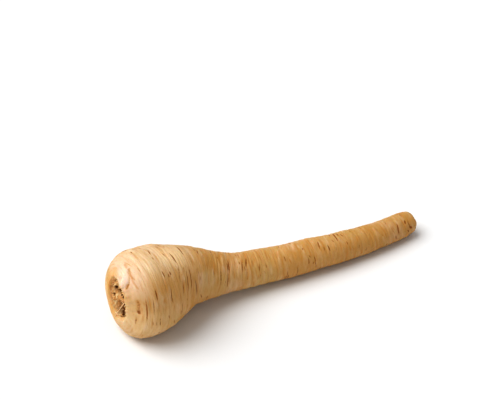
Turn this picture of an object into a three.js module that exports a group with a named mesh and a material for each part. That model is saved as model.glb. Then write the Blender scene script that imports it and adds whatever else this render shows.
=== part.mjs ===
// A parsnip lying on its side: a fleshy taproot with a sunken crown, and the dried
// leaf-stalk stubs that are left in the crown.
// Millimetres, +Z up. +X runs from the crown to the tail, and z = 0 is the table.
//
// The root is a turned shape whose points are then moved by formula: its wrinkles are cut in,
// its crown rim swells, and it is bent along its centre line. A place on it is given by its
// station (distance from the crown rim along the axis), its radius and its angle round the
// axis, which starts straight up and turns towards -Y.

import * as THREE from 'three';
import { mergeVertices } from 'three/addons/utils/BufferGeometryUtils.js';

// ---------------------------------------------------------------- driving dimensions

const ROOT_LENGTH = 194.9; // from the crown rim to the tail end, along the axis
const CROWN_X = -96.1; // station 0 on the X axis, which centres the root on x = 0
const AXIS_Y = -0.65; // sideways shift that centres the bent root on y = 0
const SINK = 0.8; // how far the resting spots are pressed flat

// The root's body: [station, radius].
const BODY_PROFILE = [
  [0.0, 13.3],
  [0.8, 16.2],
  [2.4, 19.4],
  [5.0, 22.0],
  [8.0, 23.9],
  [12.0, 25.1],
  [18.0, 25.0],
  [24.0, 24.1],
  [30.0, 22.3],
  [36.0, 20.0],
  [41.5, 18.2],
  [47.5, 16.5],
  [54.0, 14.8],
  [60.5, 13.2],
  [68.5, 11.6],
  [78.0, 10.8],
  [92.0, 10.4],
  [108.0, 10.1],
  [124.0, 9.7],
  [140.0, 9.2],
  [156.0, 8.6],
  [172.0, 8.1],
  [188.0, 7.6],
];

// The rounded tail end, from the last body row to the axis: [station, radius].
const TAIL_PROFILE = [
  [190.6, 7.3],
  [192.9, 6.5],
  [194.2, 4.9],
  [194.8, 2.6],
  [ROOT_LENGTH, 0.0],
];

// The sunken crown, from the middle of its floor out to the rim: [radius, station].
const HOLLOW_PROFILE = [
  [0.0, 5.0],
  [2.1, 4.9],
  [4.2, 4.7],
  [6.2, 4.3],
  [8.0, 3.6],
  [9.6, 2.6],
  [10.8, 1.4],
  [11.6, 0.5],
  [12.4, -0.05],
];

// The radius of the rim's crest all the way round: [angle in degrees, radius].
const RIM_OUTLINE = [
  [0, 13.2],
  [20, 11.2],
  [45, 10.0],
  [75, 9.2],
  [105, 9.2],
  [135, 10.8],
  [165, 13.6],
  [195, 15.6],
  [220, 14.0],
  [250, 12.4],
  [285, 12.2],
  [315, 13.8],
  [340, 15.2],
];
const RIM_RADIUS = 12.8; // the crest's radius in the profiles, before it takes that outline
const RIM_REACH = 2.4; // how far down the outside the outline is felt

// The centre line: [station, sideways, height].
const CENTRE_LINE = [
  [-3.0, -2.3, 27.3],
  [0.0, -1.8, 27.0],
  [8.0, -0.4, 25.8],
  [17.5, 0.7, 25.1],
  [30.0, 2.3, 24.2],
  [42.0, 3.9, 22.0],
  [50.0, 3.7, 19.7],
  [60.0, 2.5, 17.2],
  [78.0, 0.4, 13.9],
  [92.0, -0.4, 12.4],
  [106.0, -1.9, 11.6],
  [139.0, -4.7, 10.1],
  [157.0, -5.3, 9.3],
  [171.0, -4.7, 8.6],
  [187.0, -3.6, 8.1],
  [198.0, -2.6, 7.8],
];

const ROOT_SIDES = 44;
const HOLLOW_ROWS = 11;
const SHOULDER_ROWS = [0, 0.8, 2.4, 5.0];

// Swellings of the crown rim, left by the leaf bases: [angle, width, height], degrees and mm.
const RIM_SWELLINGS = [
  [8, 15, 1.5],
  [55, 26, 1.4],
  [100, 26, 1.2],
  [150, 26, 0.7],
  [205, 24, 0.3],
  [262, 30, 0.5],
  [322, 26, 0.6],
];
const RIM_LEAN = 0.4; // how far they lean over the hollow, as a share of their height

// A fuller shoulder at one side of the crown.
const SHOULDER = { middle: 157, width: 36, height: 2.3, reach: 7 };

// Ring grooves: the transverse wrinkles of the skin, closer together on the thick end.
const FIRST_GROOVE = 8.5;
const LAST_GROOVE = 187;
const CROWN_SPACING = 4.2;
const TAIL_SPACING = 6.4;
const GROOVE_HALF_WIDTH = 1.15;
const GROOVE_DEPTH = 0.6;
const GROOVE_SEED = 7321;

// Dried leaf-stalk stubs in the hollow: rings of crescents round a bud, on a corky bed.
const STUB_SEED = 1187;
const STUB_SIDES = 44;
const STUB_ROWS = 18;
const STUB_RADIUS = 10.2;
const STUB_GAP = 0.5; // clearance over the hollow's floor
const STUB_BASE = 1.5; // thickness of the bed in the middle
const STUB_EDGE = 0.7; // and at its edge
const STUB_HEIGHT = 2.0;
const STUB_RINGS = [
  { count: 9, radius: 8.4, length: 1.9 },
  { count: 6, radius: 5.6, length: 1.9 },
  { count: 3, radius: 2.9, length: 1.5 },
];
const STUB_THICKNESS = 0.8;
const BUD_HEIGHT = 1.2;

// ---------------------------------------------------------------- small helpers

const DEGREE = Math.PI / 180;

// Repeatable draws between 0 and 1.
function seededDraws(seed) {
  let state = seed;
  return () => {
    state = (state * 48271) % 2147483647;
    return state / 2147483647;
  };
}

// Smooth curve through the rows of a table: the first column is x, `column` holds the value.
function readCurve(table, x, column = 1) {
  const last = table.length - 1;
  if (x <= table[0][0]) return table[0][column];
  if (x >= table[last][0]) return table[last][column];
  let i = 0;
  while (table[i + 1][0] < x) i += 1;
  const slopeAt = (k) => {
    const before = table[Math.max(k - 1, 0)];
    const after = table[Math.min(k + 1, last)];
    return (after[column] - before[column]) / (after[0] - before[0]);
  };
  const width = table[i + 1][0] - table[i][0];
  const rise = table[i + 1][column] - table[i][column];
  const t = (x - table[i][0]) / width;
  const startBend = slopeAt(i) * width - rise;
  const endBend = rise - slopeAt(i + 1) * width;
  return table[i][column] + t * rise + t * (1 - t) * ((1 - t) * startBend + t * endBend);
}

// Signed turn from angle b to angle a, between -PI and PI.
function turnBetween(a, b) {
  return Math.atan2(Math.sin(a - b), Math.cos(a - b));
}

function bell(distance, width) {
  return Math.exp(-((distance / width) ** 2));
}

// ---------------------------------------------------------------- shape of the root

// Each groove is deepest at one side and fades out on the way round, as a wrinkle does.
function makeGrooves() {
  const draw = seededDraws(GROOVE_SEED);
  const grooves = [];
  let station = FIRST_GROOVE;
  while (station < LAST_GROOVE) {
    grooves.push({
      station,
      depth: GROOVE_DEPTH * (0.6 + 0.8 * draw()),
      middle: 2 * Math.PI * draw(),
      reach: 0.9 + 1.3 * draw(),
    });
    const along = station / ROOT_LENGTH;
    const spacing = CROWN_SPACING + (TAIL_SPACING - CROWN_SPACING) * along;
    station += spacing * (0.75 + 0.5 * draw());
  }
  return grooves;
}

function grooveDepth(grooves, station, angle) {
  let depth = 0;
  for (const groove of grooves) {
    const across = Math.abs(station - groove.station) / GROOVE_HALF_WIDTH;
    if (across < 1) {
      depth += groove.depth * (1 - across) * bell(turnBetween(angle, groove.middle), groove.reach);
    }
  }
  return depth;
}

// Rings lean and waver a little, so none is a true circle square to the axis.
function ringWaver(station, angle) {
  const lean = 0.5 * Math.cos(angle - 0.9 + 0.03 * station);
  const waver = 0.35 * Math.sin(2 * angle + 0.05 * station);
  return lean + waver;
}

// The root isn't quite round: slow lobes run along it and turn a little on the way.
function unevenness(station, angle) {
  const along = station / ROOT_LENGTH;
  const oval = 0.012 * Math.cos(2 * angle + 0.7 + 2.2 * along);
  const lobes = 0.010 * Math.cos(3 * angle - 1.1 + 3.0 * along);
  const lumps = 0.009 * Math.sin(angle + 0.4 + 0.11 * station);
  return 1 + oval + lobes + lumps;
}

function rimSwelling(angle) {
  let height = 0;
  for (const [middle, width, tall] of RIM_SWELLINGS) {
    height += tall * bell(turnBetween(angle, middle * DEGREE), width * DEGREE);
  }
  return height;
}

// Radius of the rim's crest at an angle: the outline's rows, read as a closed loop.
function rimRadius(angle) {
  const rows = RIM_OUTLINE.length;
  const before = RIM_OUTLINE.slice(rows - 2).map(([at, radius]) => [at - 360, radius]);
  const after = RIM_OUTLINE.slice(0, 2).map(([at, radius]) => [at + 360, radius]);
  const turned = (angle / DEGREE + 360) % 360;
  return readCurve([...before, ...RIM_OUTLINE, ...after], turned);
}

// Moves a station and radius near the crown: the rim takes its outline and its swellings.
function shapeCrown(station, radius, angle) {
  const inHollow = radius < RIM_RADIUS && station < 7;
  const outlineShare = inHollow ? radius / RIM_RADIUS : bell(station, RIM_REACH);
  const outline = (rimRadius(angle) - RIM_RADIUS) * outlineShare;
  const swelling = rimSwelling(angle) * bell(radius - RIM_RADIUS, 3.6) * bell(station, 5);
  const outside = THREE.MathUtils.clamp((radius - RIM_RADIUS) / 3, 0, 1);
  const aside = turnBetween(angle, SHOULDER.middle * DEGREE);
  const shoulder = SHOULDER.height * bell(aside, SHOULDER.width * DEGREE) * outside
    * bell(station - 2, SHOULDER.reach);
  return [station - swelling, radius + outline + shoulder - RIM_LEAN * swelling];
}

function centreAt(station) {
  return new THREE.Vector3(
    station,
    readCurve(CENTRE_LINE, station, 1),
    readCurve(CENTRE_LINE, station, 2),
  );
}

// The point at a station, radius and angle, on the bent centre line.
function onCentreLine(station, radius, angle) {
  const halfStep = 0.5;
  const tangent = centreAt(station + halfStep).sub(centreAt(station - halfStep)).normalize();
  const side = new THREE.Vector3().crossVectors(tangent, new THREE.Vector3(0, 0, 1)).normalize();
  const up = new THREE.Vector3().crossVectors(side, tangent);
  return centreAt(station)
    .addScaledVector(up, radius * Math.cos(angle))
    .addScaledVector(side, radius * Math.sin(angle))
    .add(new THREE.Vector3(CROWN_X, AXIS_Y, -SINK));
}

// ---------------------------------------------------------------- turning and shaping

// Turns a profile of [station, radius] rows, then moves each point where `shape` says.
function turnAndShape(profile, sides, shape) {
  const outline = profile.map(([station, radius]) => new THREE.Vector2(radius, station));
  const lathe = new THREE.LatheGeometry(outline, sides);
  const places = lathe.attributes.position;
  for (let i = 0; i < places.count; i += 1) {
    const angle = Math.atan2(places.getX(i), places.getZ(i));
    const radius = Math.hypot(places.getX(i), places.getZ(i));
    const point = shape(places.getY(i), radius, angle);
    places.setXYZ(i, point.x, point.y, point.z);
  }
  lathe.deleteAttribute('normal');
  lathe.deleteAttribute('uv');
  const closed = mergeVertices(lathe, 1e-4);
  closed.computeVertexNormals();
  return closed;
}

// ---------------------------------------------------------------- the pieces

function makeRoot() {
  const grooves = makeGrooves();
  const bodyRow = (station) => [station, readCurve(BODY_PROFILE, station)];
  const hollow = new THREE.SplineCurve(HOLLOW_PROFILE.map((row) => new THREE.Vector2(...row)));
  const profile = hollow.getPoints(HOLLOW_ROWS).map((point) => [point.y, point.x]);
  profile.push(...SHOULDER_ROWS.map(bodyRow));
  for (const { station } of grooves) {
    profile.push(bodyRow(station - GROOVE_HALF_WIDTH));
    profile.push(bodyRow(station));
    profile.push(bodyRow(station + GROOVE_HALF_WIDTH));
  }
  profile.push(...TAIL_PROFILE);

  return turnAndShape(profile, ROOT_SIDES, (station, radius, angle) => {
    const [crownStation, crownRadius] = shapeCrown(station, radius, angle);
    const onSkin = station >= FIRST_GROOVE - GROOVE_HALF_WIDTH;
    const waver = onSkin ? ringWaver(station, angle) * Math.min(1, radius / 6) : 0;
    const groove = onSkin ? grooveDepth(grooves, station, angle) : 0;
    const skinRadius = crownRadius * unevenness(station, angle) - groove;
    const point = onCentreLine(crownStation + waver, skinRadius, angle);
    point.z = Math.max(point.z, 0); // pressed flat where it rests
    return point;
  });
}

function makeStubs() {
  const draw = seededDraws(STUB_SEED);
  const stubs = [];
  for (const ring of STUB_RINGS) {
    for (let k = 0; k < ring.count; k += 1) {
      stubs.push({
        angle: (2 * Math.PI * (k + 0.5 * draw())) / ring.count,
        radius: ring.radius + 0.8 * (draw() - 0.5),
        length: ring.length,
        height: STUB_HEIGHT * (0.6 + 0.6 * draw()),
      });
    }
  }
  const stubHeight = (radius, angle) => {
    let height = BUD_HEIGHT * bell(radius, 1.6);
    for (const stub of stubs) {
      const along = turnBetween(angle, stub.angle) * stub.radius;
      const across = radius - stub.radius;
      height += stub.height * bell(across, STUB_THICKNESS) * bell(along, stub.length);
    }
    return height;
  };

  const underside = (radius) => readCurve(HOLLOW_PROFILE, radius) - STUB_GAP;
  const thickness = (radius) => STUB_BASE + (STUB_EDGE - STUB_BASE) * (radius / STUB_RADIUS) ** 2;
  const profile = [];
  for (let k = 0; k <= STUB_ROWS; k += 1) {
    const radius = (STUB_RADIUS * k) / STUB_ROWS;
    profile.push([underside(radius) - thickness(radius), radius]);
  }
  const under = HOLLOW_PROFILE.filter((row) => row[0] < STUB_RADIUS).reverse();
  profile.push(...under.map((row) => [row[1] - STUB_GAP, row[0]]));

  return turnAndShape(profile, STUB_SIDES, (station, radius, angle) => {
    const isTop = station < underside(radius) - 0.5 * STUB_EDGE;
    const edgeFade = Math.min(1, (STUB_RADIUS - radius) / 1.2);
    const raised = isTop ? station - stubHeight(radius, angle) * edgeFade : station;
    const [crownStation, crownRadius] = shapeCrown(raised, radius, angle);
    return onCentreLine(crownStation, crownRadius * unevenness(station, angle), angle);
  });
}

const rootSkin = new THREE.MeshStandardMaterial({
  name: 'root_skin',
  color: 0xdcb985,
  roughness: 0.6,
  metalness: 0,
});
const driedStalk = new THREE.MeshStandardMaterial({
  name: 'dried_stalk',
  color: 0x8a5f34,
  roughness: 0.9,
  metalness: 0,
});

const root = new THREE.Mesh(makeRoot(), rootSkin);
root.name = 'root';
const leafStubs = new THREE.Mesh(makeStubs(), driedStalk);
leafStubs.name = 'leaf_stubs';

const group = new THREE.Group();
group.name = 'parsnip';
group.add(root, leafStubs);

export default group;
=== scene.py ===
# The dressed parsnip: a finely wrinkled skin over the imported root, the corky dried stubs in its
# crown, and the loose fibres that stand out between them.
#
# Lengths are millimetres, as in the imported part, and become metres where a mesh or a shader takes
# them. A place on the root is a station (distance from the crown rim along the axis), a radius, and
# an angle round the axis, which starts straight up and turns towards -Y. A place in the crown's
# plane is (u, v): up from the axis, and towards -Y.
import math

import bpy
import numpy as np
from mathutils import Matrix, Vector


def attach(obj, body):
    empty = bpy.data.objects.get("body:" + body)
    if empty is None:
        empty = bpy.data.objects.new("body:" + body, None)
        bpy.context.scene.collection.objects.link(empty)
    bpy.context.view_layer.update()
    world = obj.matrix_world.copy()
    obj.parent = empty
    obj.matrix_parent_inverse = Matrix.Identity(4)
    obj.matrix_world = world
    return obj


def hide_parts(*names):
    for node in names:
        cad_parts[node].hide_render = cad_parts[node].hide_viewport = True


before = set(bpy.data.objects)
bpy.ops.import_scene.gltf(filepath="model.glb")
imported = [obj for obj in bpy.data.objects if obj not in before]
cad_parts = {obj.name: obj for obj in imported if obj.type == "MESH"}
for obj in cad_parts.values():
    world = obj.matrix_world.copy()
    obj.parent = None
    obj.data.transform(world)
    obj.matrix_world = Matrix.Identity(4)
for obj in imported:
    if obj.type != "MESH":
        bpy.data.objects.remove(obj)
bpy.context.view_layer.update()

MM = 0.001

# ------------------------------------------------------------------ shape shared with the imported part

ROOT_LENGTH = 194.9
CROWN_X = -96.1
AXIS_Y = -0.65
SINK = 0.8

BODY_PROFILE = np.array([
    (0.0, 13.3), (0.8, 16.2), (2.4, 19.4), (5.0, 22.0), (8.0, 23.9), (12.0, 25.1), (18.0, 25.0),
    (24.0, 24.1), (30.0, 22.3), (36.0, 20.0), (41.5, 18.2), (47.5, 16.5), (54.0, 14.8),
    (60.5, 13.2), (68.5, 11.6), (78.0, 10.8), (92.0, 10.4), (108.0, 10.1), (124.0, 9.7),
    (140.0, 9.2), (156.0, 8.6), (172.0, 8.1), (188.0, 7.6),
])
TAIL_PROFILE = np.array([
    (188.0, 7.6), (190.6, 7.3), (192.9, 6.5), (194.2, 4.9), (194.8, 2.6), (ROOT_LENGTH, 0.0),
])
HOLLOW_PROFILE = np.array([  # radius, station
    (0.0, 5.0), (2.1, 4.9), (4.2, 4.7), (6.2, 4.3), (8.0, 3.6), (9.6, 2.6), (10.8, 1.4),
    (11.6, 0.5), (12.4, -0.05),
])
RIM_OUTLINE = np.array([  # angle in degrees, radius of the rim's crest
    (0, 13.2), (20, 11.2), (45, 10.0), (75, 9.2), (105, 9.2), (135, 10.8), (165, 13.6),
    (195, 15.6), (220, 14.0), (250, 12.4), (285, 12.2), (315, 13.8), (340, 15.2),
])
RIM_RADIUS = 12.8
RIM_REACH = 2.4
CENTRE_LINE = np.array([  # station, sideways, height
    (-3.0, -2.3, 27.3), (0.0, -1.8, 27.0), (8.0, -0.4, 25.8), (17.5, 0.7, 25.1),
    (30.0, 2.3, 24.2), (42.0, 3.9, 22.0), (50.0, 3.7, 19.7), (60.0, 2.5, 17.2),
    (78.0, 0.4, 13.9), (92.0, -0.4, 12.4), (106.0, -1.9, 11.6), (139.0, -4.7, 10.1),
    (157.0, -5.3, 9.3), (171.0, -4.7, 8.6), (187.0, -3.6, 8.1), (198.0, -2.6, 7.8),
])
RIM_SWELLINGS = [  # angle and width in degrees, height
    (8, 15, 1.5), (55, 26, 1.4), (100, 26, 1.2), (150, 26, 0.7), (205, 24, 0.3), (262, 30, 0.5),
    (322, 26, 0.6),
]
RIM_LEAN = 0.4
SHOULDER_ANGLE, SHOULDER_WIDTH, SHOULDER_HEIGHT, SHOULDER_REACH = 157, 36, 2.3, 7

FIRST_GROOVE = 8.5
LAST_GROOVE = 187
CROWN_SPACING = 4.2
TAIL_SPACING = 6.4
GROOVE_DEPTH = 0.6
GROOVE_SEED = 7321

STUB_SEED = 1187
STUB_RADIUS = 10.2
STUB_GAP = 0.5
STUB_BASE = 1.5
STUB_EDGE = 0.7
STUB_HEIGHT = 2.0
STUB_RINGS = [(9, 8.4, 1.9), (6, 5.6, 1.9), (3, 2.9, 1.5)]  # count, radius, length
STUB_THICKNESS = 0.8
BUD_HEIGHT = 1.2


def seeded_draws(seed):
    """Repeatable draws between 0 and 1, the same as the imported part's."""
    state = seed

    def draw():
        nonlocal state
        state = (state * 48271) % 2147483647
        return state / 2147483647

    return draw


def read_curve(table, x, column=1):
    """Smooth curve through the rows of a table, read at every x."""
    x = np.clip(x, table[0, 0], table[-1, 0])
    last = len(table) - 1
    i = np.clip(np.searchsorted(table[:, 0], x, side="left") - 1, 0, last - 1)
    slopes = np.array([
        (table[min(k + 1, last), column] - table[max(k - 1, 0), column])
        / (table[min(k + 1, last), 0] - table[max(k - 1, 0), 0])
        for k in range(last + 1)
    ])
    width = table[i + 1, 0] - table[i, 0]
    rise = table[i + 1, column] - table[i, column]
    t = (x - table[i, 0]) / width
    start_bend = slopes[i] * width - rise
    end_bend = rise - slopes[i + 1] * width
    return table[i, column] + t * rise + t * (1 - t) * ((1 - t) * start_bend + t * end_bend)


def spline_points(points, count):
    """Even samples of a Catmull-Rom spline through the points."""
    last = len(points) - 1
    at = np.linspace(0, last, count + 1)
    i = np.minimum(at.astype(int), last - 1)
    t = (at - i)[:, None]
    p0, p1 = points[np.maximum(i - 1, 0)], points[i]
    p2, p3 = points[i + 1], points[np.minimum(i + 2, last)]
    v0, v1 = (p2 - p0) / 2, (p3 - p1) / 2
    return (
        (2 * p1 - 2 * p2 + v0 + v1) * t**3
        + (-3 * p1 + 3 * p2 - 2 * v0 - v1) * t**2
        + v0 * t + p1
    )


def even_turns(count):
    """Angles of evenly spread columns round an axis."""
    return np.arange(count) * 2 * math.pi / count


def turn_between(a, b):
    """Shortest turn from angle b to angle a."""
    return np.arctan2(np.sin(a - b), np.cos(a - b))


def bell(distance, width):
    """1 at no distance, falling smoothly to nothing past the width."""
    return np.exp(-((distance / width) ** 2))


def make_grooves():
    """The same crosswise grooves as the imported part's: station, depth, middle angle, reach."""
    draw = seeded_draws(GROOVE_SEED)
    grooves = []
    station = FIRST_GROOVE
    while station < LAST_GROOVE:
        depth = GROOVE_DEPTH * (0.6 + 0.8 * draw())
        middle = 2 * math.pi * draw()
        reach = 0.9 + 1.3 * draw()
        grooves.append((station, depth, middle, reach))
        along = station / ROOT_LENGTH
        spacing = CROWN_SPACING + (TAIL_SPACING - CROWN_SPACING) * along
        station += spacing * (0.75 + 0.5 * draw())
    return grooves


def ring_waver(station, angle):
    """How far the skin's rings lean and waver along the root."""
    lean = 0.5 * np.cos(angle - 0.9 + 0.03 * station)
    return lean + 0.35 * np.sin(2 * angle + 0.05 * station)


def unevenness(station, angle):
    """Factor on the radius that takes the root's section out of round."""
    along = station / ROOT_LENGTH
    oval = 0.012 * np.cos(2 * angle + 0.7 + 2.2 * along)
    lobes = 0.010 * np.cos(3 * angle - 1.1 + 3.0 * along)
    lumps = 0.009 * np.sin(angle + 0.4 + 0.11 * station)
    return 1 + oval + lobes + lumps


def rim_swelling(angle):
    return sum(
        tall * bell(turn_between(angle, math.radians(middle)), math.radians(width))
        for middle, width, tall in RIM_SWELLINGS
    )


def rim_radius(angle):
    """Radius of the rim's crest at an angle: the outline's rows, read as a closed loop."""
    before, after = RIM_OUTLINE[-2:] - (360, 0), RIM_OUTLINE[:2] + (360, 0)
    rows = np.concatenate([before, RIM_OUTLINE, after])
    return read_curve(rows, np.degrees(angle) % 360)


def shape_crown(station, radius, angle):
    """Moves a station and radius near the crown: the rim takes its outline and its swellings."""
    in_hollow = (radius < RIM_RADIUS) & (station < 7)
    outline_share = np.where(in_hollow, radius / RIM_RADIUS, bell(station, RIM_REACH))
    outline = (rim_radius(angle) - RIM_RADIUS) * outline_share
    swelling = rim_swelling(angle) * bell(radius - RIM_RADIUS, 3.6) * bell(station, 5)
    outside = np.clip((radius - RIM_RADIUS) / 3, 0, 1)
    aside = turn_between(angle, math.radians(SHOULDER_ANGLE))
    shoulder = SHOULDER_HEIGHT * bell(aside, math.radians(SHOULDER_WIDTH)) * outside
    shoulder = shoulder * bell(station - 2, SHOULDER_REACH)
    return station - swelling, radius + outline + shoulder - RIM_LEAN * swelling


def centre_at(station):
    return np.stack([
        station, read_curve(CENTRE_LINE, station, 1), read_curve(CENTRE_LINE, station, 2)
    ], axis=-1)


def unit(vectors):
    return vectors / np.linalg.norm(vectors, axis=-1, keepdims=True)


def on_centre_line(station, radius, angle):
    """Points of the shared frame, in millimetres, round the bent centre line."""
    tangent = unit(centre_at(station + 0.5) - centre_at(station - 0.5))
    side = unit(np.cross(tangent, np.array([0.0, 0.0, 1.0])))
    up = np.cross(side, tangent)
    offset = up * (radius * np.cos(angle))[..., None] + side * (radius * np.sin(angle))[..., None]
    return centre_at(station) + offset + np.array([CROWN_X, AXIS_Y, -SINK])


# ------------------------------------------------------------------ mesh helpers


def wave_noise(seed, station, angle, wavelength, turns, count=28):
    """Smooth noise over the skin, about -1 to 1, that closes on itself round the root.

    wavelength: shortest and longest wave along the root, in mm. turns: most waves round it.
    """
    rng = np.random.default_rng(seed)
    total = np.zeros(np.broadcast(station, angle).shape)
    for _ in range(count):
        length = wavelength[0] * (wavelength[1] / wavelength[0]) ** rng.random()
        around = rng.integers(-turns, turns + 1)
        phase = rng.random() * 2 * math.pi
        total += np.cos(2 * math.pi * station / length + around * angle + phase)
    return total / math.sqrt(count)


def plane_noise(seed, u, v, wavelength, count=28):
    """Smooth noise over a plane, about -1 to 1."""
    rng = np.random.default_rng(seed)
    total = np.zeros(u.shape)
    for _ in range(count):
        length = wavelength[0] * (wavelength[1] / wavelength[0]) ** rng.random()
        way, phase = rng.random(2) * 2 * math.pi
        total += np.cos(2 * math.pi / length * (u * math.cos(way) + v * math.sin(way)) + phase)
    return total / math.sqrt(count)


def crumbs(seed, u, v, spacing, reach):
    """Crumbs scattered over a disc: how far inside its crumb each point is, and the crumb's draw.

    The first is 0 at the crumb's edge and 1 well inside it, the second is between 0 and 1.
    """
    rng = np.random.default_rng(seed)
    steps = np.arange(-reach, reach + spacing, spacing)
    middles = np.stack(np.meshgrid(steps, steps), -1).reshape(-1, 2)
    middles = middles + rng.uniform(-0.5, 0.5, middles.shape) * spacing
    draws = rng.random(len(middles))
    points = np.stack([u.ravel(), v.ravel()], -1)
    gaps = np.linalg.norm(points[:, None, :] - middles[None, :, :], axis=-1)
    nearest = np.argsort(gaps, axis=1)[:, :2]
    first, second = np.take_along_axis(gaps, nearest, 1).T
    inside = np.clip((second - first) / (0.6 * spacing), 0, 1)
    return inside.reshape(u.shape), draws[nearest[:, 0]].reshape(u.shape)


def link_mesh(name, verts, faces):
    """A smooth piece from points in millimetres, put into the scene."""
    mesh = bpy.data.meshes.new(name)
    mesh.from_pydata((verts * MM).tolist(), [], faces)
    mesh.polygons.foreach_set("use_smooth", np.ones(len(mesh.polygons), bool))
    mesh.update()
    piece = bpy.data.objects.new(name, mesh)
    bpy.context.scene.collection.objects.link(piece)
    return piece


def turned_mesh(name, points, masks, rest):
    """A closed mesh from rows of points round an axis; the first and last rows are poles."""
    rings, sides = points.shape[0] - 2, points.shape[1]

    def per_vertex(values):
        """The rows' values in one list, with a single value for each pole."""
        inner = values[1:-1].reshape(-1, *values.shape[2:])
        return np.concatenate([values[:1, 0], inner, values[-1:, 0]])

    row = np.arange(rings - 1)[:, None] * sides + 1
    col = np.arange(sides)[None, :]
    after = (col + 1) % sides
    corners = [row + col, row + after, row + sides + after, row + sides + col]
    quads = np.stack(corners, -1).reshape(-1, 4)
    first = np.stack([np.zeros(sides, int), 1 + after[0], 1 + col[0]], -1)
    base = 1 + (rings - 1) * sides
    last = np.stack([np.full(sides, base + sides), base + col[0], base + after[0]], -1)
    piece = link_mesh(name, per_vertex(points), quads.tolist() + first.tolist() + last.tolist())

    own_place = piece.data.attributes.new("rest", "FLOAT_VECTOR", "POINT")
    own_place.data.foreach_set("vector", (per_vertex(rest) * MM).ravel().astype(np.float32))
    for mask, values in masks.items():
        layer = piece.data.attributes.new(mask, "FLOAT", "POINT")
        layer.data.foreach_set("value", per_vertex(values).astype(np.float32))
    return piece


# ------------------------------------------------------------------ the skin

SKIN_SIDES = 160
HOLLOW_ROWS = 40
CREST_ROWS, CREST_END = 9, 1.2
BULB_ROWS = (1.4, 60, 0.285)  # first station, end, and step from row to row
TAIL_ROWS = (60.2, 188, 0.39)
TAIL_END_ROWS = 26
TAIL_CUT, TAIL_CUT_REACH = 186, 6  # the end's slant grows from this station, over this length
TAIL_SLANT = 0.20  # how far the upper side of the tail's end leans outwards

SKIN_LUMPS = [  # seed, height, shortest and longest wave along, most waves round, waves summed
    (5, 0.15, (12, 50), 4, 28), (6, 0.07, (3, 9), 9, 28), (7, 0.03, (0.9, 2.5), 30, 36),
]
SMOOTH_END, SMOOTH_FADE = 5.0, 6.0  # these lumps grow from this station, over this length
RIM_LUMP_SEED, RIM_FOLD_SEED, SHOULDER_FOLD_SEED = 8, 11, 12
RIM_LUMP_HEIGHT, RIM_FOLD_HEIGHT, SHOULDER_FOLD_HEIGHT = 0.16, 0.07, 0.09
GROOVE_WIDTH, GROOVE_CUT, GROOVE_TINT = 0.45, 0.35, 0.35
LIP_WIDTH, LIP_RAISE = 1.3, 0.2

# Scattered lines: the ranges that half lengths and half widths are drawn from, and the most depth
STREAK_SEED, STREAK_COUNT = 41, 1000
FOLD_LENGTHS, FOLD_WIDTHS, FOLD_HEIGHT = (2.0, 7.0), (0.45, 1.00), 0.10
LINE_LENGTHS, LINE_WIDTHS, LINE_DEPTH = (1.5, 6.0), (0.28, 0.60), 0.07
SLIT_SEED, SLIT_COUNT = 42, 230
SLIT_LENGTHS, SLIT_WIDTHS, SLIT_DEPTH = (0.9, 3.0), (0.20, 0.36), 0.18
FIRST_SLIT, SLITTED_LENGTH = 14, 185

CRUMB_SEED = 31
CRUMB_SIZE = 1.3
CRUMB_HEIGHT = 0.7  # from the lowest crumb's top to the highest's
CORK_RADIUS = 12.0  # the hollow's wall turns to cork inside this radius
CORK_EDGE_SEED, CORK_EDGE_WAVER, CORK_EDGE_FADE = 13, 0.6, 1.8
BARE_WALL, BARE_WALL_FADE = 9.6, 0.6  # the stubs' bed hides the wall inside this radius

# Marks that the eye picks out: station, angle in degrees, half length, half width, depth,
# brownness, and how far the mark leans along the root by its end.
MARKS = [
    (4.1, 76, 7.4, 0.46, 0.20, 0.74, -0.1), (1.4, 107, 3.6, 0.36, 0.15, 0.52, 0.2),
    (7.3, 15, 3.0, 0.40, 0.15, 0.45, -0.2), (8.0, 70, 5.8, 0.36, 0.15, 0.62, -0.6),
    (11.2, 54, 3.0, 0.42, 0.30, 1.00, -0.1), (11.3, 71, 4.3, 0.34, 0.12, 0.39, -0.5),
    (7.3, 97, 1.6, 0.34, 0.15, 0.59, 0.2), (9.6, 97, 1.7, 0.34, 0.15, 0.59, 0.2),
    (12.0, 97, 2.1, 0.34, 0.15, 0.72, 0.1), (19.2, 33, 2.2, 0.34, 0.20, 0.78, 0.1),
    (19.4, 356, 2.6, 0.34, 0.20, 0.78, -0.8), (20.4, 62, 5.2, 0.32, 0.20, 0.72, -0.8),
    (25.4, 6, 2.9, 0.36, 0.10, 0.39, 0.5), (28.4, 39, 6.3, 0.36, 0.15, 0.45, -1.5),
    (28.7, 61, 4.5, 0.32, 0.20, 0.65, -0.6), (32.2, 54, 6.4, 0.34, 0.25, 0.72, -0.4),
    (34.5, 53, 7.5, 0.34, 0.25, 0.72, -0.9), (38.5, 73, 5.2, 0.34, 0.30, 1.00, 0.6),
    (46.6, 96, 1.7, 0.34, 0.25, 1.00, 1.5), (60.0, 60, 5.9, 0.38, 0.20, 0.59, -0.1),
    (65.0, 33, 2.9, 0.34, 0.25, 0.85, 0.1), (64.7, 69, 4.9, 0.34, 0.25, 0.72, -0.4),
    (74.6, 36, 3.0, 0.42, 0.20, 0.65, -0.2), (77.6, 23, 2.8, 0.38, 0.30, 1.00, -0.8),
    (85.1, 50, 2.3, 0.30, 0.20, 0.72, -0.5), (77.1, 57, 4.2, 0.40, 0.12, 0.39, -0.5),
    (176.7, 85, 1.4, 0.60, 0.12, 0.59, 0.1), (179.5, 53, 3.6, 0.40, 0.20, 0.91, -0.6),
    (186.0, 34, 1.3, 0.55, 0.20, 1.00, -0.4), (186.2, 79, 0.9, 0.40, 0.20, 1.00, 0.4),
    (188.6, 68, 1.0, 0.80, 0.35, 1.00, 0.2),
]
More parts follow.
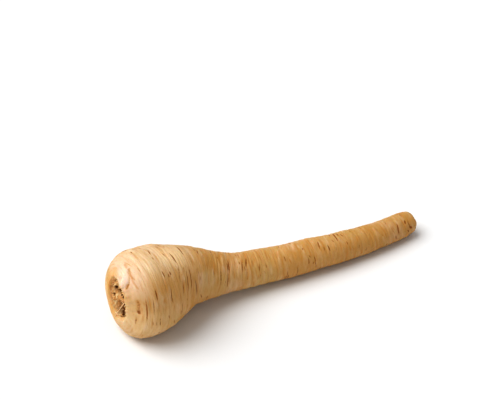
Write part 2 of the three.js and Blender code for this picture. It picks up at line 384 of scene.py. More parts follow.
MARK_STRETCH = 1.15  # a mark fades at its ends, so it is drawn a little longer than it looks

CROWN_PATH_END = 8  # the crown's paths mark the skin up to this station

# Folds and marks of the crown's rim: path in the crown's plane, half width, depth, and the shares
# of ring, slit and pale. A fold has a depth below 0.
CROWN_PATHS = [
    ([(19.2, -0.9), (16.9, 0.9), (16.1, 2.4), (14.9, 3.5)], 1.8, -0.50, 0.0, 0.0, 1.0),
    ([(15.4, 0.2), (14.0, 1.4), (12.9, 2.4), (12.3, 3.2)], 1.0, 1.2, 0.0, 0.0, 0.0),
    ([(20.0, 1.6), (18.9, 3.5), (17.5, 5.1), (15.7, 6.0)], 0.50, 0.60, 0.75, 0.0, 0.0),
    ([(15.5, 6.1), (14.5, 6.5)], 0.80, 0.25, 0.9, 0.45, 0.0),
    ([(13.9, 4.8), (13.1, 3.6)], 0.35, 0.25, 0.4, 0.0, 0.0),
    ([(20.8, 0.9), (19.5, 3.6), (18.7, 6.2)], 0.55, 0.20, 0.9, 0.10, 0.0),
    ([(18.4, 4.6), (17.3, 7.8), (15.6, 11.0)], 0.55, -0.22, 0.0, 0.0, 0.7),
    ([(18.2, 6.6), (17.0, 9.6), (15.8, 12.2)], 0.35, 0.18, 0.7, 0.0, 0.0),
    ([(20.8, -3.8), (20.6, -0.6)], 0.60, 0.12, 0.6, 0.0, 0.0),
    ([(13.2, 6.9), (11.4, 9.9)], 1.2, -0.35, 0.0, 0.0, 0.35),
    ([(9.9, 15.7), (8.7, 16.5), (7.3, 17.1), (4.7, 17.9), (3.0, 18.2)], 0.85, 0.12, 0.3, 0.42, 0.0),
    ([(2.7, 18.25), (1.9, 18.35)], 0.65, 0.20, 0.4, 0.85, 0.0),
]


def path_distance(u, v, path):
    """How far every point of a plane is from a path's nearest stretch."""
    nearest = np.full(u.shape, np.inf)
    for (u0, v0), (u1, v1) in zip(path, path[1:]):
        du, dv = u1 - u0, v1 - v0
        t = np.clip(((u - u0) * du + (v - v0) * dv) / (du * du + dv * dv), 0, 1)
        nearest = np.minimum(nearest, np.hypot(u - u0 - t * du, v - v0 - t * dv))
    return nearest


class Skin:
    """Rows and columns over the root, with the dents and masks that marks add to them."""

    def __init__(self):
        hollow = spline_points(HOLLOW_PROFILE, HOLLOW_ROWS)[:, ::-1]
        crest = np.linspace(0.0, CREST_END, CREST_ROWS)
        body = np.concatenate([crest, np.arange(*BULB_ROWS), np.arange(*TAIL_ROWS)])
        body = np.stack([body, read_curve(BODY_PROFILE, body)], -1)
        tail = spline_points(TAIL_PROFILE, TAIL_END_ROWS)[1:]
        rows = np.concatenate([hollow, body, tail])
        rows[0, 1] = rows[-1, 1] = 0.0
        self.station = rows[:, :1]
        self.radius = rows[:, 1:]
        self.angle = even_turns(SKIN_SIDES)[None, :]
        self.shape = (len(rows), SKIN_SIDES)
        self.first_body = len(hollow)

        # A lift moves a point square to the skin: this much along the root, and this much outwards.
        slope = unit(np.gradient(rows, axis=0))
        self.lift_station = -slope[:, 1:]
        self.lift_radius = slope[:, :1]

        steps = np.linalg.norm(np.diff(rows, axis=0), axis=1)
        along = np.concatenate([[0.0], np.cumsum(steps)])
        self.along = along - along[self.first_body]

        self.dent = np.zeros(self.shape)
        self.ring = np.zeros(self.shape)
        self.slit = np.zeros(self.shape)
        self.pale = np.zeros(self.shape)

    def place_on_body(self, station):
        """Distance over the skin from the rim's crest to a station."""
        body = slice(self.first_body, None)
        return np.interp(station, self.station[body, 0], self.along[body])

    def crease(self, place, middle, half_length, half_width, depth, lean, **colours):
        """A dent across the root, or a fold where depth is negative, tinted by its colours.

        place is its distance over the skin from the rim's crest, half_length its reach round the
        root. It thins and fades towards its ends. colours are shares of ring, slit or pale.
        """
        radius = np.interp(place, self.along, self.radius[:, 0])
        away = turn_between(self.angle, middle) * radius / half_length
        margin = 3 * half_width + abs(lean)
        rows = np.nonzero(np.abs(self.along - place) < margin)[0]
        rows = rows[rows >= self.first_body]
        across = self.along[rows, None] - place - lean * np.clip(away, -1, 1)
        fullness = np.clip(1 - away**2, 0, 1)
        share = bell(across, half_width * (0.6 + 0.4 * fullness)) * fullness**0.7
        self.dent[rows] += depth * share
        for name, strength in colours.items():
            mask = getattr(self, name)
            mask[rows] = np.maximum(mask[rows], strength * share)


def add_main_grooves(skin):
    """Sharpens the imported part's grooves, and raises a lip on both sides of each."""
    for station, depth, middle, reach in make_grooves():
        across = skin.station - station
        round_share = bell(turn_between(skin.angle, middle), reach)
        cut = bell(across, GROOVE_WIDTH) * round_share
        lips = bell(across, LIP_WIDTH) * round_share
        cut[: skin.first_body] = lips[: skin.first_body] = 0
        skin.dent += depth * (GROOVE_CUT * cut - LIP_RAISE * lips)
        skin.ring = np.maximum(skin.ring, GROOVE_TINT * cut)


def add_streaks(skin):
    """The close-set folds and lines across the whole skin: pale and raised, or brown and sunk."""
    rng = np.random.default_rng(STREAK_SEED)
    for _ in range(STREAK_COUNT):
        place = 0.6 + (skin.along[-1] - 1.2) * rng.random() ** 1.2
        middle = rng.random() * 2 * math.pi
        strength, lean = rng.uniform(0.2, 0.9), rng.uniform(-0.8, 0.8)
        strength *= min(1.0, 0.4 + place / 18)
        if rng.random() < 0.5:
            size = rng.uniform(*FOLD_LENGTHS), rng.uniform(*FOLD_WIDTHS)
            skin.crease(place, middle, *size, -FOLD_HEIGHT * strength, lean, pale=strength)
        else:
            size = rng.uniform(*LINE_LENGTHS), rng.uniform(*LINE_WIDTHS)
            skin.crease(place, middle, *size, LINE_DEPTH * strength, lean, ring=strength)


def add_slits(skin):
    """Short brown breathing slits, scattered, a little denser towards the thick end."""
    rng = np.random.default_rng(SLIT_SEED)
    for _ in range(SLIT_COUNT):
        place = FIRST_SLIT + SLITTED_LENGTH * rng.random() ** 1.25
        half_length = rng.uniform(*SLIT_LENGTHS) * (1.0 if rng.random() < 0.8 else 2.0)
        middle, half_width = rng.random() * 2 * math.pi, rng.uniform(*SLIT_WIDTHS)
        brown, lean = rng.uniform(0.35, 0.95), rng.uniform(-0.5, 0.5)
        depth = SLIT_DEPTH * brown
        skin.crease(place, middle, half_length, half_width, depth, lean, slit=brown)


def add_marks(skin):
    """The brown marks that stand out in the photo."""
    for station, angle, half_length, half_width, depth, brown, lean in MARKS:
        place, middle = skin.place_on_body(station), math.radians(angle)
        half_length *= MARK_STRETCH
        skin.crease(place, middle, half_length, half_width, depth, lean, slit=brown)


def add_crown_paths(skin):
    """The lobe's folds and the creases and smears on the crown's rim."""
    u, v = skin.radius * np.cos(skin.angle), skin.radius * np.sin(skin.angle)
    near_crown = skin.station < CROWN_PATH_END
    for path, half_width, depth, ring, slit, pale in CROWN_PATHS:
        share = bell(path_distance(u, v, path), half_width) * near_crown
        skin.dent += depth * share
        skin.ring = np.maximum(skin.ring, ring * share)
        skin.slit = np.maximum(skin.slit, slit * share)
        skin.pale = np.maximum(skin.pale, pale * share)


def skin_lumps(station, radius, angle, on_skin, settle):
    """Low lumps of the whole skin, and the folds that gather round the crown's rim."""
    u, v = radius * np.cos(angle), radius * np.sin(angle)
    lumps = sum(
        height * wave_noise(seed, station, angle, wavelength, turns, count) * settle
        for seed, height, wavelength, turns, count in SKIN_LUMPS
    )
    near_rim = bell(radius - RIM_RADIUS, 4.5) * bell(station, 6)
    lumps += RIM_LUMP_HEIGHT * plane_noise(RIM_LUMP_SEED, u, v, (3.0, 9.0)) * near_rim
    rim_folds = wave_noise(RIM_FOLD_SEED, station, angle, (8, 30), 34, 40)
    lumps += RIM_FOLD_HEIGHT * rim_folds * near_rim
    shoulder_folds = wave_noise(SHOULDER_FOLD_SEED, station, angle, (1.2, 4.0), 5)
    on_shoulder = bell(station - 3.5, 4) * on_skin
    return lumps + SHOULDER_FOLD_HEIGHT * shoulder_folds * on_shoulder


def make_skin():
    """The whole skin with the hollow's wall, which turns to crumbled cork below the rim."""
    skin = Skin()
    add_main_grooves(skin)
    add_streaks(skin)
    add_slits(skin)
    add_marks(skin)
    add_crown_paths(skin)
    station, radius, angle = np.broadcast_arrays(skin.station, skin.radius, skin.angle)
    on_skin = np.arange(skin.shape[0])[:, None] >= skin.first_body
    u, v = radius * np.cos(angle), radius * np.sin(angle)

    settle = np.clip((station - SMOOTH_END) / SMOOTH_FADE, 0, 1) * on_skin
    waver = ring_waver(station, angle) * np.minimum(1, radius / 6) * settle
    edge_noise = plane_noise(CORK_EDGE_SEED, u, v, (0.8, 3.0), 40)
    ragged_edge = CORK_RADIUS + CORK_EDGE_WAVER * edge_noise
    cork = np.where(on_skin, 0.0, np.clip((ragged_edge - radius) / CORK_EDGE_FADE, 0, 1))
    inside, crumb = crumbs(CRUMB_SEED, u, v, CRUMB_SIZE, CORK_RADIUS)
    bare_wall = cork * np.clip((radius - BARE_WALL) / BARE_WALL_FADE, 0, 1)
    lift = skin_lumps(station, radius, angle, on_skin, settle) - skin.dent
    lift += (CRUMB_HEIGHT * (crumb - 0.5) + 0.4 * inside - 0.3) * bare_wall
    lift[[0, -1]] = 0

    crown_station, crown_radius = shape_crown(station, radius, angle)
    skin_radius = crown_radius * unevenness(station, angle) + lift * skin.lift_radius
    skin_radius[[0, -1]] = 0
    cut_share = np.clip((station - TAIL_CUT) / TAIL_CUT_REACH, 0, 1) ** 2
    cut_slant = TAIL_SLANT * np.maximum(u, 0) * cut_share
    skin_station = crown_station + waver + cut_slant + lift * skin.lift_station
    points = on_centre_line(skin_station, np.maximum(skin_radius, 0), angle)
    points[..., 2] = np.maximum(points[..., 2], 0)
    masks = {
        "ring": skin.ring, "slit": skin.slit, "pale": skin.pale, "cork": cork,
        "crumb": crumb * cork, "crack_shade": (1 - inside) * cork,
    }
    return turned_mesh("root_skin", points, masks, np.stack([station, u, v], -1))


# ------------------------------------------------------------------ the dried stubs

STUB_SIDES = 200
STUB_TOP_ROWS, STUB_UNDER_ROWS = 120, 24
GRAIN_SEED, LAYER_SEED, TORN_SEED = 21, 22, 23
GRAIN_HEIGHT, LAYER_HEIGHT = 0.20, 0.10
TORN_DEPTH = 0.35
DEEPEST_PIT = 1.0
# A pit's darkness is painted shade, deepest in the gap behind the near rim.
PITS = [  # path in the crown's plane, half width, depth, darkness
    ([(9.2, 0.4), (6.4, -2.8)], 1.10, 2.2, 0.50), ([(3.8, -6.9), (2.8, -4.8)], 1.60, 2.0, 1.00),
    ([(1.3, -2.8), (1.7, -1.4), (2.6, 1.2)], 0.75, 1.0, 1.00),
    ([(-3.0, 1.6), (-5.4, 0.2), (-7.6, 0.3), (-8.3, 3.4)], 1.7, 1.3, 0.85),
    ([(-5.0, -2.6), (-7.6, -1.2)], 2.00, 0.4, 0.45), ([(-1.7, -8.8), (-2.3, -8.1)], 0.65, 0.6, 0.80),
    ([(-4.2, -2.1), (-4.9, -2.6)], 0.60, 0.7, 0.70), ([(7.2, 4.2), (5.6, 6.4)], 1.00, 1.6, 0.60),
    ([(-1.5, 6.6), (-3.4, 5.4)], 0.90, 1.5, 0.60),
]


def stub_table():
    """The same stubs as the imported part's: angle, radius, length, height."""
    draw = seeded_draws(STUB_SEED)
    stubs = []
    for count, ring_radius, length in STUB_RINGS:
        for k in range(count):
            angle = 2 * math.pi * (k + 0.5 * draw()) / count
            radius = ring_radius + 0.8 * (draw() - 0.5)
            stubs.append((angle, radius, length, STUB_HEIGHT * (0.6 + 0.6 * draw())))
    return stubs


def underside(radius):
    return read_curve(HOLLOW_PROFILE, radius) - STUB_GAP


def bed_top(radius):
    return underside(radius) - STUB_BASE - (STUB_EDGE - STUB_BASE) * (radius / STUB_RADIUS) ** 2


def broken_stalks(radius, angle):
    """Height of the bud and the broken stalks over the bed, and each stalk's share of a point."""
    height = BUD_HEIGHT * bell(radius, 1.6)
    tip = np.zeros(radius.shape)
    for stub_angle, stub_radius, length, tall in stub_table():
        along = turn_between(angle, stub_angle) * stub_radius
        share = bell(radius - stub_radius, STUB_THICKNESS) * bell(along, length)
        height += tall * share * (1 + 0.25 * np.sin(along * 7.0 + stub_angle * 5) * share)
        tip = np.maximum(tip, share)
    return height, tip


def make_stubs():
    """Corky bed with crescents of broken stalks, crumbled, pitted and frayed."""
    top_radius = np.linspace(0, STUB_RADIUS, STUB_TOP_ROWS)
    under_radius = np.linspace(STUB_RADIUS, 0, STUB_UNDER_ROWS)[1:]
    rows = np.concatenate([
        np.stack([bed_top(top_radius), top_radius], -1),
        np.stack([underside(under_radius), under_radius], -1),
    ])
    is_top = np.arange(len(rows))[:, None] < STUB_TOP_ROWS
    angle = even_turns(STUB_SIDES)[None, :]
    station, radius, angle = np.broadcast_arrays(rows[:, :1], rows[:, 1:], angle)
    u, v = radius * np.cos(angle), radius * np.sin(angle)

    height, tip = broken_stalks(radius, angle)
    inside, crumb = crumbs(CRUMB_SEED, u, v, CRUMB_SIZE, CORK_RADIUS)
    height += CRUMB_HEIGHT * (crumb - 0.5) + 0.3 * inside
    layers = wave_noise(LAYER_SEED, radius, angle, (0.45, 1.3), 7, 40) * np.clip(radius / 2, 0, 1)
    grain = plane_noise(GRAIN_SEED, u, v, (0.4, 1.6), 40)
    height += LAYER_HEIGHT * layers + GRAIN_HEIGHT * grain
    # Each pit's darkness, painted shade, is kept for the colour.
    pit_shade = np.zeros(station.shape)
    for path, half_width, depth, darkness in PITS:
        share = bell(path_distance(u, v, path), half_width)
        height -= depth * share
        pit_shade = np.maximum(pit_shade, darkness * share)
    fade = np.clip(0.35 + (STUB_RADIUS - radius) / 1.8, 0, 1)
    lift = np.where(is_top, np.maximum(height, -DEEPEST_PIT) * fade, 0.0)
    round_only = np.zeros(radius.shape)
    torn_edge = TORN_DEPTH * (1 + wave_noise(TORN_SEED, round_only, angle, (1, 2), 18, 40))
    torn_radius = radius - torn_edge * (radius / STUB_RADIUS) ** 6

    crown_station, crown_radius = shape_crown(station - lift, torn_radius, angle)
    points = on_centre_line(crown_station, crown_radius * unevenness(station, angle), angle)
    masks = {
        "tip": tip * is_top, "pit_shade": pit_shade * is_top, "crack_shade": (1 - inside) * is_top,
        "crumb": np.clip(crumb + 0.12 * layers, 0, 1) * is_top,
    }
    return turned_mesh("leaf_stubs_dried", points, masks, np.stack([station - lift, u, v], -1))


# ------------------------------------------------------------------ the loose fibres

FIBRE_SIDES = 6
FIBRE_STEPS = 14
FIBRE_COUNT = 34
FIBRE_SEED = 77
FIBRE_FOOT = 2.0  # station in the bed from which the short fibres stand out
FOOT_REACH, TIP_REACH = 9.5, 10.5  # how far from the axis their two ends may be
FIBRE_TAPER = 0.65
KINK_SEED, KINK_SHARE = 78, 0.25
# Two ends as station, radius and angle in degrees, then thickness and bend
LONG_FIBRE = (1.4, 3.6, 108), (-0.4, 12.7, 194), 0.62, 0.35


def crown_place(station, radius, degrees):
    """Where a station, radius and angle of the crown end up on the bent root."""
    place = np.array([station]), np.array([radius]), np.radians([degrees])
    crown_station, crown_radius = shape_crown(*place)
    return on_centre_line(crown_station, crown_radius * unevenness(place[0], place[2]), place[2])[0]


def fibre_list():
    """The long pale fibre and a scatter of short ones, standing out of the bed at a slant."""
    rng = np.random.default_rng(FIBRE_SEED)
    fibres = [LONG_FIBRE]
    for _ in range(FIBRE_COUNT):
        radius, degrees = FOOT_REACH * rng.random() ** 0.6, 360 * rng.random()
        foot = FIBRE_FOOT, radius, degrees
        tip_radius = min(abs(radius + rng.uniform(-1.6, 1.8)), TIP_REACH)
        tip = rng.uniform(-0.4, 0.9), tip_radius, degrees + rng.uniform(-18, 18)
        fibres.append((foot, tip, rng.uniform(0.08, 0.16), rng.uniform(-0.7, 0.7)))
    return fibres


def fibre_tube(start, end, thickness, bend, rng):
    """Vertices and faces of one tapered, slightly kinked fibre."""
    t = np.linspace(0, 1, FIBRE_STEPS)[:, None]
    across = unit(np.cross(end - start, rng.normal(size=3)))
    sag = bend * (np.sin(math.pi * t) + KINK_SHARE * np.sin(t * rng.uniform(9, 14)))
    line = start + (end - start) * t + across * sag
    ahead = unit(np.gradient(line, axis=0))
    side = unit(np.cross(ahead, across))
    up = np.cross(side, ahead)
    turn = even_turns(FIBRE_SIDES)[None, :, None]
    ring = side[:, None] * np.cos(turn) + up[:, None] * np.sin(turn)
    width = thickness * (1 - FIBRE_TAPER * t**1.5)
    verts = (line[:, None] + ring * width[:, None] * 0.5).reshape(-1, 3)
    faces = [list(range(FIBRE_SIDES)), list(range(len(verts) - FIBRE_SIDES, len(verts)))[::-1]]
    for first in range(0, len(verts) - FIBRE_SIDES, FIBRE_SIDES):
        for k in range(FIBRE_SIDES):
            a, b = first + k, first + (k + 1) % FIBRE_SIDES
            faces.append([a, a + FIBRE_SIDES, b + FIBRE_SIDES, b])
    return verts, faces


def make_fibres():
    """All the fibres as one piece."""
    rng = np.random.default_rng(KINK_SEED)
    all_verts, all_faces = [], []
    for count, (start, end, thickness, bend) in enumerate(fibre_list()):
        ends = crown_place(*start), crown_place(*end)
        verts, faces = fibre_tube(*ends, thickness, bend, rng)
        all_verts.append(verts)
        all_faces += [[count * len(verts) + index for index in face] for face in faces]
    return link_mesh("crown_fibres", np.concatenate(all_verts), all_faces)


# ------------------------------------------------------------------ materials


class Nodes:
    """Short calls for building one material's node tree. The materials' functions call it n."""

    def __init__(self, name):
        self.material = bpy.data.materials.new(name)
        self.material.use_nodes = True
        self.tree = self.material.node_tree
        self.shader = self.tree.nodes["Principled BSDF"]

    def link(self, value, socket):
        """Feeds a socket from another socket, a colour or a number."""
        if isinstance(value, bpy.types.NodeSocket):
            self.tree.links.new(value, socket)
        elif socket.type == "RGBA":
            socket.default_value = (*value, 1.0)
        else:
            socket.default_value = value

    def mask(self, name):
        node = self.tree.nodes.new("ShaderNodeAttribute")
        node.attribute_name = name
        return node.outputs["Fac"]

    def place(self, stretch=(1, 1, 1)):
        """The piece's own coordinates before it was bent, stretched."""
        node = self.tree.nodes.new("ShaderNodeAttribute")
        node.attribute_name = "rest"
        scale = self.tree.nodes.new("ShaderNodeVectorMath")
        scale.operation = "MULTIPLY"
        self.tree.links.new(node.outputs["Vector"], scale.inputs[0])
        scale.inputs[1].default_value = stretch
        return scale.outputs["Vector"]

    def axes(self):
        """Station, height and reach towards -Y of the place, one socket each."""
        node = self.tree.nodes.new("ShaderNodeSeparateXYZ")
        self.link(self.place(), node.inputs[0])
        return [node.outputs[axis] for axis in "XYZ"]

    def noise(self, stretch, detail, roughness, low=0.35, high=0.65):
        """Noise, brought to 0..1 between two of its levels. stretch is in waves per metre."""
        node = self.tree.nodes.new("ShaderNodeTexNoise")
        self.link(self.place(stretch), node.inputs["Vector"])
        node.inputs["Scale"].default_value = 1.0
        node.inputs["Detail"].default_value = detail
        node.inputs["Roughness"].default_value = roughness
        return self.spread(node.outputs["Fac"], low, high)

    def patch(self, middle, reach):
        """A soft spot on the piece before it was bent: 1 near its middle, 0 at its reach."""
        distance = self.tree.nodes.new("ShaderNodeVectorMath")
        distance.operation = "DISTANCE"
        self.link(self.place(), distance.inputs[0])
        distance.inputs[1].default_value = middle
        return self.spread(distance.outputs["Value"], reach, 0.3 * reach)

    def spread(self, value, low, high, to_low=0.0, to_high=1.0):
        """Brings low..high of a value to to_low..to_high, and holds it there outside them."""
        node = self.tree.nodes.new("ShaderNodeMapRange")
        self.link(value, node.inputs["Value"])
        levels = {"From Min": low, "From Max": high, "To Min": to_low, "To Max": to_high}
        for socket, level in levels.items():
            node.inputs[socket].default_value = level
        return node.outputs["Result"]

    def math(self, operation, a, b):
        node = self.tree.nodes.new("ShaderNodeMath")
        node.operation = operation
        self.link(a, node.inputs[0])
        self.link(b, node.inputs[1])
        return node.outputs["Value"]

    def mix(self, share, a, b, strength=1.0):
        """a where share is 0, b where it is 1, held back by strength."""
        node = self.tree.nodes.new("ShaderNodeMix")
        node.data_type = "RGBA"
        node.clamp_factor = True
        self.link(self.math("MULTIPLY", share, strength), node.inputs["Factor"])
        colours = [socket for socket in node.inputs if socket.type == "RGBA"]
        self.link(a, colours[0])
        self.link(b, colours[1])
        return next(socket for socket in node.outputs if socket.type == "RGBA")

    def bump(self, height, distance, below=None):
        node = self.tree.nodes.new("ShaderNodeBump")
        self.link(height, node.inputs["Height"])
        node.inputs["Distance"].default_value = distance
        if below is not None:
            self.link(below, node.inputs["Normal"])
        return node.outputs["Normal"]


# Colours, linear
CREAM = (0.82, 0.59, 0.33)
# Cream for the painted highlights on the shoulder.
HIGHLIGHT_CREAM = (0.98, 0.71, 0.41)
PALE = (0.90, 0.705, 0.485)
BLUSH = (0.96, 0.76, 0.61)
PINK = (0.83, 0.60, 0.45)
OLIVE = (0.60, 0.43, 0.17)
TAN = (0.61, 0.34, 0.100)
# Tan for painted shade on the shoulder.
SHADE_TAN = (0.46, 0.27, 0.110)
TAIL_TAN_AND_SHADE = (0.48, 0.26, 0.070)
OCHRE = (0.57, 0.30, 0.080)
RUST = (0.74, 0.37, 0.09)
RING_BROWN = (0.55, 0.235, 0.035)
SLIT_BROWN = (0.27, 0.085, 0.006)
CORK = (0.88, 0.485, 0.185)
CORK_PALE = (1.0, 0.76, 0.42)
# Dark cork for the crumbs' mottle, and painted shade low in the hollow, in the cracks and in the pits.
CORK_DARK_AND_SHADE = (0.12, 0.036, 0.005)
PIT_SHADE = (0.045, 0.008, 0.001)
FIBRE_PALE = (0.95, 0.72, 0.50)

# Noises, in waves per metre along the root, up and towards -Y
STREAKS = (330, 60, 60)
BANDS = (260, 50, 50)
FINE_RINGS = (1100, 90, 90)
# Noise that breaks up the pale folds, which are partly painted highlight.
FOLD_BREAKUP = (900, 260, 260)
FRAYED_EDGES = (2200, 900, 900)
SKIN_GRAIN = (2600, 1800, 1800)
CORK_MOTTLE = (420, 420, 420)
CORK_SHEEN = (600, 600, 600)
CORK_GRAIN = (1200, 1200, 1200)
FIBRE_MOTTLE = 900  # the same along every axis
RING_RELIEF, SKIN_RELIEF, CORK_RELIEF = 0.0003, 0.00012, 0.0004  # heights of the bumps

# Where tints come in, in metres: the place with none of it and the place with all of it
# The crown-to-body stations: the cream crown end and tan body are partly the root's own tone, partly
# painted light on the crown end and painted shade on the body.
CROWN_TO_BODY = (0.002, 0.035)  # stations
# The tail's darker tan, partly painted shade, comes in between these stations.
TAIL_HALF = (0.110, 0.185)
TAIL_END = (0.190, 0.195)
BLUSH_STATION = (0.012, 0.001)
RIM_STATION = (0.002, 0.0)
BLUSH_HEIGHT = (0.010, 0.017)  # heights over the axis
# Heights over which the pale bands and folds grow stronger towards the top: painted highlight.
HIGHLIGHT_SIDE = (0.006, 0.022)
# Heights over which the pale top, a painted highlight, comes in.
TOP_HIGHLIGHT_HEIGHTS = (0.017, 0.024)
# Heights of the painted shade low in the hollow and the painted light high in it.
CORK_SHADE_HEIGHTS, CORK_LIGHT_HEIGHTS = (-0.003, -0.008), (0.001, 0.006)
FAR_SIDE = (0.0, -0.006)  # reach towards -Y

BLOTCHES = [  # what Nodes.noise takes, then colour and strength
    (((40, 50, 50), 3.0, 0.6, 0.45, 0.70), CREAM, 0.40),
    (((60, 75, 75), 3.0, 0.6, 0.50, 0.70), OCHRE, 0.60),
    (((48, 55, 55), 2.0, 0.5, 0.55, 0.70), PINK, 0.40),
    (((36, 45, 45), 2.0, 0.5, 0.50, 0.65), OLIVE, 0.50),
]
LINES_AND_SPECKS = [  # the same columns
    (((2600, 150, 150), 2.0, 0.5, 0.60, 0.68), RING_BROWN, 0.30),
    (((1500, 1300, 1300), 2.0, 0.5, 0.64, 0.72), RING_BROWN, 0.40),
]
# Shoulder patches: a paler patch high on the shoulder, partly painted highlight; painted shade on two
# patches of the side towards -Y; and a pale patch low by the rim.
SHOULDER_PATCHES = [  # middle as station, up and towards -Y, then reach, colour and strength
    ((0.0330, 0.0205, 0.0050), 0.0150, HIGHLIGHT_CREAM, 0.65),
    ((0.0160, 0.0160, 0.0190), 0.0160, TAN, 0.50),
    ((0.0050, 0.0120, 0.0180), 0.0115, SHADE_TAN, 0.55),
    ((0.0010, -0.0150, 0.0050), 0.0110, PALE, 0.55),
]
# Top patches: the lobe's blush, and a painted highlight on top of the shoulder.
TOP_PATCHES = [  # the same columns: the lobe of the rim, and the top of the shoulder
    ((0.0005, 0.0168, 0.0012), 0.0065, BLUSH, 0.75),
    ((0.0290, 0.0222, 0.0035), 0.0095, HIGHLIGHT_CREAM, 0.75),
]


def tint_noises(n, colour, rows):
    """The colour with every row's noise laid over it."""
    for settings, tint, strength in rows:
        colour = n.mix(n.noise(*settings), colour, tint, strength)
    return colour


def tint_patches(n, colour, rows):
    """The colour with every row's soft spot laid over it."""
    for middle, reach, tint, strength in rows:
        colour = n.mix(n.patch(middle, reach), colour, tint, strength)
    return colour


def cork_colour(n):
    """Crumbled cork: every crumb its own tone, with painted shade low in the hollow and between the
    crumbs, and painted light high in it.
    """
    upper = n.axes()[1]
    colour = n.mix(n.spread(n.mask("crumb"), 0.15, 0.85), CORK, CORK_PALE)
    colour = n.mix(n.noise(CORK_MOTTLE, 4.0, 0.65), colour, CORK_DARK_AND_SHADE, 0.14)
    # Painted shade low in the hollow, painted light high in it.
    colour = n.mix(n.spread(upper, *CORK_SHADE_HEIGHTS), colour, CORK_DARK_AND_SHADE, 0.20)
    colour = n.mix(n.spread(upper, *CORK_LIGHT_HEIGHTS), colour, CORK_PALE, 0.35)
    # Painted shade in the cracks between the crumbs.
    return n.mix(n.spread(n.mask("crack_shade"), 0.6, 1.0), colour, CORK_DARK_AND_SHADE, 0.22)


def skin_ground(n):
    """The unmarked skin: cream at the crown and tan further on, partly painted light and shade,
    blotched, with a painted highlight on top and patches of painted highlight and painted shade on the
    shoulder.
    """
    station, upper, _ = n.axes()
    # Cream at the crown turning tan along the body: partly the root's own tone, partly painted light
    # and painted shade.
    colour = n.mix(n.spread(station, *CROWN_TO_BODY, 0.15, 0.95), CREAM, TAN)
    colour = tint_noises(n, colour, BLOTCHES)
    # Painted highlight: the top side turned pale.
    colour = n.mix(n.spread(upper, *TOP_HIGHLIGHT_HEIGHTS), colour, PALE, 0.75)
    # Painted highlight and painted shade in patches on the shoulder, and a pale patch by the rim.
    return tint_patches(n, colour, SHOULDER_PATCHES)


def skin_tints_and_painted_light(n, colour, streaks):
    """Bands and streaks round the skin, the crown's and the tail's tints, and pale folds: bands and
    folds paler on top as painted highlight, the tail's tan partly painted shade.
    """
    station, upper, near = n.axes()
    # Painted highlight: the pale bands and pale folds grow stronger towards the top side.
    top_highlight = n.spread(upper, *HIGHLIGHT_SIDE, 0.35, 1.0)
    bands = n.math("MULTIPLY", n.noise(BANDS, 3.0, 0.6, 0.50, 0.70), top_highlight)
    colour = n.mix(bands, colour, PALE, 0.50)
    colour = n.mix(streaks, colour, OCHRE, 0.45)
    colour = n.mix(n.noise(FINE_RINGS, 3.0, 0.6), colour, RING_BROWN, 0.12)
    blush = n.math("MULTIPLY", n.spread(station, *BLUSH_STATION), n.spread(upper, *BLUSH_HEIGHT))
    colour = n.mix(blush, colour, PINK, 0.75)
    far_rim = n.math("MULTIPLY", n.spread(station, *RIM_STATION), n.spread(near, *FAR_SIDE))
    colour = n.mix(far_rim, colour, RUST, 0.60)
    # Darker tan towards the tail: partly its own tone, partly painted shade.
    colour = n.mix(n.spread(station, *TAIL_HALF), colour, TAIL_TAN_AND_SHADE, 0.45)
    colour = n.mix(n.spread(station, *TAIL_END), colour, OCHRE, 0.6)
    # Paler raised folds and lobe, broken up by noise and stronger on top: partly the skin's own paler
    # folds, partly painted highlight.
    fold_breakup = n.noise(FOLD_BREAKUP, 3.0, 0.6, 0.3, 0.6)
    pale_folds_and_highlight = n.math("MULTIPLY", n.math("MULTIPLY", n.mask("pale"), fold_breakup), top_highlight)
    colour = n.mix(pale_folds_and_highlight, colour, PALE, 0.85)
    # The lobe's blush, and a painted highlight on top of the shoulder.
    return tint_patches(n, colour, TOP_PATCHES)


def skin_marks(n, colour):
    """Brown rings, fine lines, specks and breathing slits with frayed edges."""
    colour = n.mix(n.spread(n.mask("ring"), 0.05, 0.8), colour, RING_BROWN, 0.70)
    colour = tint_noises(n, colour, LINES_AND_SPECKS)
    frayed = n.math("SUBTRACT", n.mask("slit"), n.noise(FRAYED_EDGES, 2.0, 0.5, 0.3, 1.9))
    colour = n.mix(n.spread(n.mask("slit"), 0.05, 0.6), colour, RING_BROWN, 0.65)
    return n.mix(n.spread(frayed, 0.10, 0.45), colour, SLIT_BROWN, 0.92)


def skin_material():
    n = Nodes("parsnip_skin")
    streaks = n.noise(STREAKS, 3.0, 0.6)
    colour = skin_marks(n, skin_tints_and_painted_light(n, skin_ground(n), streaks))
    colour = n.mix(n.spread(n.mask("cork"), 0.3, 1.0), colour, cork_colour(n), 0.85)
    n.link(colour, n.shader.inputs["Base Color"])

    n.link(n.spread(streaks, 0, 1, 0.46, 0.62), n.shader.inputs["Roughness"])
    n.shader.inputs["Specular IOR Level"].default_value = 0.35
    n.shader.inputs["Subsurface Weight"].default_value = 0.2
    n.shader.inputs["Subsurface Radius"].default_value = (1.0, 0.42, 0.14)
    n.shader.inputs["Subsurface Scale"].default_value = 0.003

    rings = n.bump(n.noise(FINE_RINGS, 3.0, 0.6, 0.0, 1.0), RING_RELIEF)
    grain = n.bump(n.noise(SKIN_GRAIN, 3.0, 0.6, 0.0, 1.0), SKIN_RELIEF, rings)
    n.link(grain, n.shader.inputs["Normal"])
    return n.material


